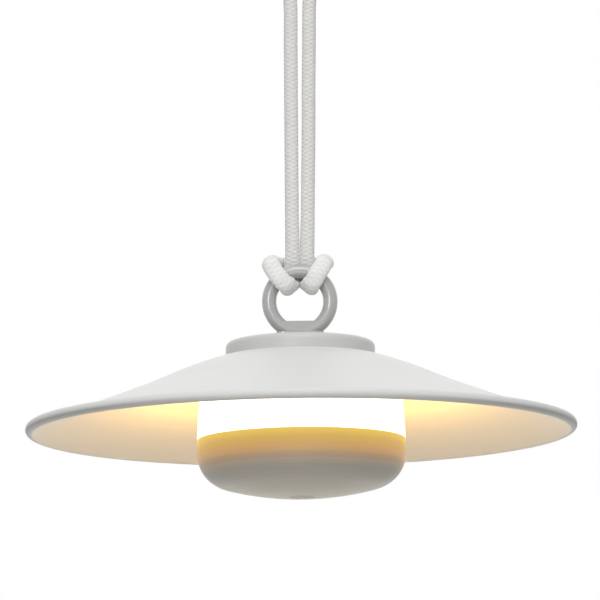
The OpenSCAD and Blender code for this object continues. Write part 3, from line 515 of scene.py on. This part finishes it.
def tongue(tree):
    """The flat tongue, across the middle of the socket's mouth."""
    half = Vector((TONGUE_HALF_WIDTH, TONGUE_HALF_THICKNESS, 1))
    return part_of(tree, socket_middle - half, socket_middle + half)


socket_finish = two_tone("steel socket", STEEL, BLACK_PLASTIC, 0.3, tongue, first_is_metal=True)
dress(socket_finish, "charging_socket")

# Control board
# A small two-layer board of glass and epoxy with green solder mask, screwed to posts in the cup
# under the tray. It carries the charging circuit and the push switch that the button works.
MASK_GREEN = linear(34, 88, 54)
TRACK_GREEN = linear(62, 122, 72)
TRACK_SPACING = 0.0024
TRACK_WIDTH = 0.0002
TRACK_LENGTH = 0.0072
TRACK_STAGGER = 0.37


def tracks(tree):
    """Copper tracks that show through the solder mask: a broken net of straight lines."""
    place = add_node(tree, "ShaderNodeTexCoord").outputs["Object"]
    net = add_node(
        tree, "ShaderNodeTexBrick", {"offset": TRACK_STAGGER}, Vector=place, Scale=1.0,
        Mortar_Size=TRACK_WIDTH, Mortar_Smooth=0.0, Brick_Width=TRACK_LENGTH,
        Row_Height=TRACK_SPACING,
    )
    return net.outputs["Fac"]


board_finish = two_tone("green circuit board", MASK_GREEN, TRACK_GREEN, 0.35, tracks)
dress(board_finish, "control_board")
switch_finish, *_ = surfaced("black switch plastic", BLACK_PLASTIC, 0.45)
dress(switch_finish, "push_switch", "switch_plunger")

# Battery
# Two round cells in plain green shrink sleeves, held in a moulded tray under the deck. Nickel
# plates join their ends, and silicone covered leads go to the board and up to the lights.
tray_finish, *_ = surfaced("dark tray plastic", linear(82, 85, 88), 0.5, mottle=0.04)
dress(tray_finish, "battery_tray")
SLEEVE_GREEN = linear(84, 134, 76)
BARE_END = 0.0002
cell_low, cell_high = (Vector(c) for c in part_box("battery_cells"))


def sleeve(tree):
    """All of the cells but their flat ends, which face along Y."""
    reach = Vector((1, -BARE_END, 1))
    return part_of(tree, cell_low - reach, cell_high + reach)


cell_finish = two_tone("sleeved cell", STEEL, SLEEVE_GREEN, 0.35, sleeve, first_is_metal=True)
dress(cell_finish, "battery_cells")
contact_finish, *_ = surfaced("nickel contact", linear(206, 198, 180), 0.3, Metallic=1.0)
dress(contact_finish, "cell_contacts")
red_finish, *_ = surfaced("red silicone lead", linear(170, 40, 34), 0.5)
dress(red_finish, "battery_leads")
black_finish, *_ = surfaced("black silicone lead", linear(38, 38, 40), 0.5)
dress(black_finish, "light_leads")

# Drum and light strips
# A turned aluminium drum stands on the white deck, screwed through its flange into the cup. Two
# white flexible strips with soldered light chips are wrapped round it, and it takes their heat.
deck_finish, *_ = surfaced("white deck plastic", linear(226, 226, 222), 0.5)
dress(deck_finish, "base_deck")
TURNING_PITCH = 0.0006
TURNING_DEPTH = 0.00001
WAVE_RADIANS = 20
drum_finish, tree, shader, surface = surfaced(
    "turned aluminium", linear(208, 210, 212), 0.35, Metallic=1.0
)
drum_place = add_node(tree, "ShaderNodeTexCoord").outputs["Object"]
turning = add_node(
    tree, "ShaderNodeTexWave", {"bands_direction": "Z", "wave_profile": "SIN"},
    Vector=drum_place, Scale=2 * math.pi / (WAVE_RADIANS * TURNING_PITCH), Distortion=0.0,
).outputs[0]
marks = add_node(
    tree, "ShaderNodeBump", Height=calculate(tree, "MULTIPLY", turning, TURNING_DEPTH),
    Distance=1.0, Normal=surface.outputs["Normal"],
)
tree.links.new(marks.outputs["Normal"], shader.inputs["Normal"])
dress(drum_finish, "light_drum")

CHIPS_ROUND = 24
PAD_START, PAD_END = 0.42, 0.58
STRIP_WHITE = linear(238, 238, 234)
PAD_TIN = linear(186, 184, 176)


def solder_pads(tree):
    """Tinned pads across each strip, midway between two chips."""
    place = add_node(tree, "ShaderNodeTexCoord").outputs["Object"]
    sides = add_node(tree, "ShaderNodeSeparateXYZ", Vector=place).outputs
    turn = calculate(tree, "ARCTAN2", sides["Y"], sides["X"])
    chips_passed = calculate(tree, "MULTIPLY", turn, CHIPS_ROUND / (2 * math.pi))
    share = calculate(tree, "FRACT", chips_passed)
    past_start = calculate(tree, "GREATER_THAN", share, PAD_START)
    return calculate(tree, "MULTIPLY", past_start, calculate(tree, "LESS_THAN", share, PAD_END))


strip_finish = two_tone("white light strip", STRIP_WHITE, PAD_TIN, 0.45, solder_pads)
dress(strip_finish, "light_strips")
chip_finish, *_ = surfaced(
    "light chip", linear(250, 214, 110), 0.4, mottle=0.02,
    Emission_Color=linear(255, 226, 160), Emission_Strength=2.0,
)
dress(chip_finish, "light_chips")

# Diffuser
# The opal ring between shade and cup, moulded in milky plastic and lit from inside, so bright
# that it shows plain white, and dimmer towards its top edge, above the light strips. It is what
# lights the inside of the shade. The camera sees a weaker, whiter glow, so its edges stay smooth.
DIFFUSER_GLOW = [
    (0.35, linear(255, 200, 98)), (0.7, linear(188, 147, 71)), (1.0, linear(137, 106, 50)),
]
SEEN_GLOW = linear(92, 90, 86)
diffuser_finish, tree, shader, surface = surfaced(
    "lit opal plastic", linear(250, 246, 236), 0.4, Emission_Strength=13.0
)
diffuser_low, diffuser_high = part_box("diffuser")
cast_glow = height_ramp(tree, diffuser_low[2], diffuser_high[2], DIFFUSER_GLOW)
to_camera = add_node(tree, "ShaderNodeLightPath").outputs["Is Camera Ray"]
glow = mixed_colour(tree, to_camera, cast_glow, SEEN_GLOW)
tree.links.new(glow, shader.inputs["Emission Color"])
dress(diffuser_finish, "diffuser")

# Top housing
# The moulded housing under the shade, with its threaded neck through the shade's hole and a skirt
# that the diffuser plugs into. Three screws hold it to the drum.
housing_finish, *_ = surfaced("light grey housing plastic", linear(214, 214, 211), 0.5)
dress(housing_finish, "top_housing")

# Shade
# Spun from 1.5 mm aluminium sheet, with its rim rolled outward. It is powder coated light grey,
# and whiter inside, up to the bottom of the roll, so that it throws the light down. Under the
# roll, left and right, a duller grey is painted in as painted shade.
OUTSIDE_GREY = linear(220, 220, 218)
INSIDE_WHITE = linear(238, 236, 231)
INSIDE_REACH = 0.1518
PAINTED_SHADE_GREY = linear(182, 181, 179)

# By the Z of the surface's normal, the band of painted shade starts, is full, begins to fade
# and ends here. To either side of the lamp's middle it starts and is full at these distances.
SHADE_BAND_FACING = (0.02, -0.4, -0.55, -0.93)
SHADE_BAND_SIDEWAYS = (0.04, 0.11)

shade_finish, tree, shader, surface = surfaced(
    "light grey powder coat", None, 0.5, mottle=0.02, grain_size=0.0009, grain_depth=0.000012
)
shade_place = add_node(tree, "ShaderNodeTexCoord").outputs
level = add_node(
    tree, "ShaderNodeVectorMath", {"operation": "MULTIPLY"}, i0=shade_place["Object"],
    i1=(1, 1, 0),
)
reach = add_node(tree, "ShaderNodeVectorMath", {"operation": "LENGTH"}, i0=level.outputs[0])
within = calculate(tree, "LESS_THAN", reach.outputs["Value"], INSIDE_REACH)
facing = add_node(tree, "ShaderNodeSeparateXYZ", Vector=shade_place["Normal"]).outputs["Z"]
inside = calculate(tree, "MULTIPLY", within, calculate(tree, "LESS_THAN", facing, 0.0))
# Painted shade: the roll's lower outer side, to the left and right, is painted a darker grey.
below_side = rising(tree, facing, SHADE_BAND_FACING[0], SHADE_BAND_FACING[1])
above_bottom = rising(tree, facing, SHADE_BAND_FACING[3], SHADE_BAND_FACING[2])
left_right = add_node(tree, "ShaderNodeSeparateXYZ", Vector=shade_place["Object"]).outputs["X"]
to_the_sides = rising(tree, calculate(tree, "ABSOLUTE", left_right), *SHADE_BAND_SIDEWAYS)
painted_shade = calculate(tree, "MULTIPLY", calculate(tree, "SUBTRACT", 1.0, within), below_side)
painted_shade = calculate(tree, "MULTIPLY", calculate(tree, "MULTIPLY", painted_shade, above_bottom), to_the_sides)
outside_colour = mixed_colour(tree, painted_shade, OUTSIDE_GREY, PAINTED_SHADE_GREY)
shade_colour = mixed_colour(tree, inside, outside_colour, INSIDE_WHITE)
tree.links.new(shade_colour, surface.inputs["Colour"])
dress(shade_finish, "shade")

# Cap and ring
# The low round cap hides the nut that clamps the shade, and the ring's stud goes down through
# cap and housing to a nut. Both are die cast and coated in a darker grey than the shade.
cap_finish, *_ = surfaced("grey coated cap", linear(202, 202, 200), 0.36, mottle=0.02)
dress(cap_finish, "top_cap")
ring_finish, *_ = surfaced(
    "grey coated ring", linear(167, 167, 165), 0.28, mottle=0.03, grain_depth=0.000003,
    Specular_IOR_Level=0.8, Coat_Weight=1.0, Coat_Roughness=0.13,
)
dress(ring_finish, "hanging_ring")

# Studio
# A plain pale floor well below the lamp, a white surround and large soft lights. The camera,
# metal and glass see floor and surround paler than they light the lamp, and see through the
# floor from underneath.
FLOOR_HEIGHT = -2.4
FLOOR_HALF = 25.0
FLOOR_SEEN = linear(250, 250, 248)
FLOOR_LIT = linear(180, 180, 177)
FLOOR_LIFT = linear(166, 166, 165)
floor_corners = [
    (x * FLOOR_HALF, y * FLOOR_HALF, FLOOR_HEIGHT)
    for x, y in ((-1, -1), (1, -1), (1, 1), (-1, 1))
]
floor_mesh = bpy.data.meshes.new("floor")
floor_mesh.from_pydata(floor_corners, [], [(0, 1, 2, 3)])
floor = bpy.data.objects.new("floor", floor_mesh)
bpy.context.scene.collection.objects.link(floor)
floor_finish, tree, shader = new_finish("pale floor", Roughness=0.9, Emission_Strength=1.0)


def seen_directly(tree):
    """1 for rays from the camera, and for those that show this place in metal and glass."""
    path = add_node(tree, "ShaderNodeLightPath").outputs
    seen = calculate(tree, "MAXIMUM", path["Is Camera Ray"], path["Is Transmission Ray"])
    return calculate(tree, "MAXIMUM", seen, path["Is Glossy Ray"])


seen = seen_directly(tree)
floor_colour = mixed_colour(tree, seen, FLOOR_LIT, FLOOR_SEEN)
tree.links.new(floor_colour, shader.inputs["Base Color"])
tree.links.new(mixed_colour(tree, seen, DARK, FLOOR_LIFT), shader.inputs["Emission Color"])
underneath = add_node(tree, "ShaderNodeNewGeometry").outputs["Backfacing"]
clear = add_node(tree, "ShaderNodeBsdfTransparent").outputs[0]
one_way = add_node(
    tree, "ShaderNodeMixShader", i0=calculate(tree, "MULTIPLY", seen, underneath),
    i1=shader.outputs[0], i2=clear,
).outputs[0]
tree.links.new(one_way, tree.nodes["Material Output"].inputs["Surface"])
floor_mesh.materials.append(floor_finish)

SURROUND_LIT = 0.47
SURROUND_SEEN = 1.0
world = bpy.data.worlds.new("studio")
bpy.context.scene.world = world
world.use_nodes = True
tree = world.node_tree
tree.nodes.clear()
strength = add_node(
    tree, "ShaderNodeMix", i0=seen_directly(tree), i2=SURROUND_LIT, i3=SURROUND_SEEN
).outputs[0]
background = add_node(tree, "ShaderNodeBackground", Color=(1, 1, 1, 1), Strength=strength)
add_node(tree, "ShaderNodeOutputWorld", Surface=background.outputs[0])

# Each light's name, place, size and watts
LIGHTS = [
    ("overhead", (0, 0, 2.2), (2.4, 2.4), 7),
    ("back", (0, 2.3, 1.3), (2.2, 1.8), 6),
    ("back low", (0, 2.6, -0.7), (1.4, 1.2), 2.5),
    ("key", (0, -2.0, 1.7), (2.2, 1.8), 30),
    ("low", (0, -2.4, -1.2), (2.4, 1.8), 12),
    ("front", (-0.73, -2.9, 0.23), (1.0, 0.4), 8),
]
for name, position, size, power in LIGHTS:
    light = bpy.data.objects.new(name, bpy.data.lights.new(name, "AREA"))
    light.data.shape, light.data.energy = "ELLIPSE", power
    light.data.size, light.data.size_y = size
    light.location = position
    light.rotation_mode = "QUATERNION"
    light.rotation_quaternion = (RIM_CENTRE - light.location).to_track_quat("-Z", "Y")
    light.visible_camera = False
    bpy.context.scene.collection.objects.link(light)

bpy.context.scene.view_settings.view_transform = "Standard"
